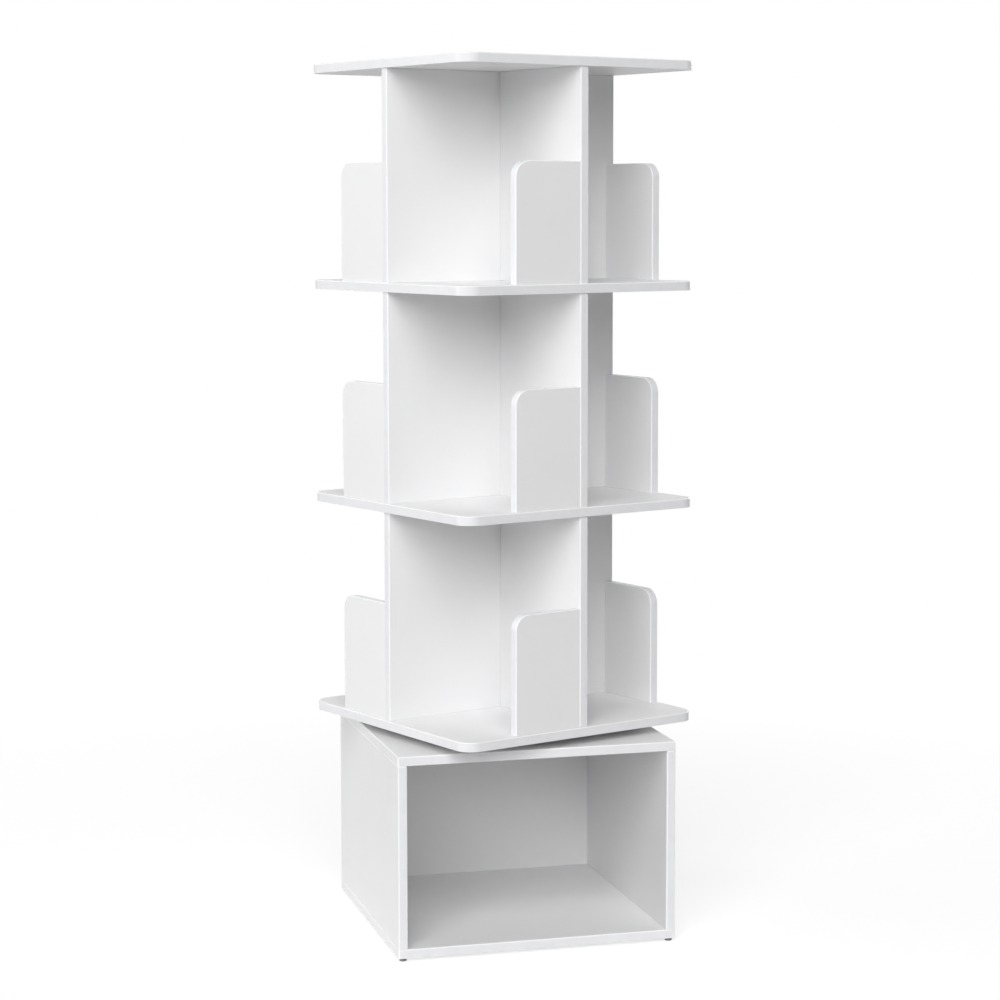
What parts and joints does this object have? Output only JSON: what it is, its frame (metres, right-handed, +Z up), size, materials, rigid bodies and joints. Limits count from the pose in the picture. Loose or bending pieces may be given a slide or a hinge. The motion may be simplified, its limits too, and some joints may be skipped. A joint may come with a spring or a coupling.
{
  "type": "revolving bookcase",
  "caption": "Floor-standing revolving bookcase: an open square shelf tower with crossed partitions and half-height stops turns on a ball-bearing plate over an open base cabinet.",
  "frame": {"origin": "on the floor under the axis that the tower turns about, at the middle of the cabinet", "axes": "+Z up along the turning axis, -Y out of the cabinet's open front, +X to the right seen from the front"},
  "size_m": [0.5748, 0.5748, 1.424],
  "materials": {
    "board": "white melamine-faced particleboard with banded edges",
    "cap": "white moulded cap",
    "foot": "dark grey moulded glide",
    "dowel": "fluted beech",
    "zinc": "zinc plated",
    "plate": "pressed zinc plated sheet",
    "ball": "polished bearing steel",
    "nylon": "natural nylon"
  },
  "bodies": {
    "base": {"base_top_panel": "board", "base_bottom_panel": "board", "base_left_side": "board", "base_right_side": "board", "base_back_panel": "board", "feet": "foot", "base_dowels": "dowel", "base_cam_bolts": "zinc", "base_cam_locks": "zinc", "base_cam_caps": "cap", "base_screws": "zinc", "turntable_lower_plate": "plate", "turntable_eyelet": "plate", "turntable_spacer": "nylon", "turntable_machine_screws": "zinc"},
    "tower": {"tower_deck": "board", "lower_shelf": "board", "upper_shelf": "board", "top_panel": "board", "lower_long_partition": "board", "lower_front_partition": "board", "lower_back_partition": "board", "middle_long_partition": "board", "middle_front_partition": "board", "middle_back_partition": "board", "upper_long_partition": "board", "upper_front_partition": "board", "upper_back_partition": "board", "lower_front_stop": "board", "lower_right_stop": "board", "lower_back_stop": "board", "lower_left_stop": "board", "middle_front_stop": "board", "middle_right_stop": "board", "middle_back_stop": "board", "middle_left_stop": "board", "upper_front_stop": "board", "upper_right_stop": "board", "upper_back_stop": "board", "upper_left_stop": "board", "turntable_upper_plate": "plate", "turntable_wood_screws": "zinc", "shelf_dowels": "dowel", "cross_dowels": "dowel", "stop_dowels": "dowel", "stop_screws": "zinc", "double_cam_bolts": "zinc", "single_cam_bolts": "zinc", "partition_cam_locks": "zinc", "partition_cam_caps": "cap"},
    "ball_ring": {"bearing_balls": "ball", "ball_cage": "nylon"}
  },
  "joints": [
    {"name": "turntable_spin", "type": "hinge", "parent": "base", "child": "tower", "pos_m": [0, 0, 0.337], "axis": [0, 0, 1], "continuous": true},
    {"name": "ball_ring_spin", "type": "hinge", "parent": "base", "child": "ball_ring", "pos_m": [0, 0, 0.337], "axis": [0, 0, 1], "continuous": true}
  ],
  "couplings": [
    {"joint": "ball_ring_spin", "follows": "turntable_spin", "ratio": 0.5}
  ]
}
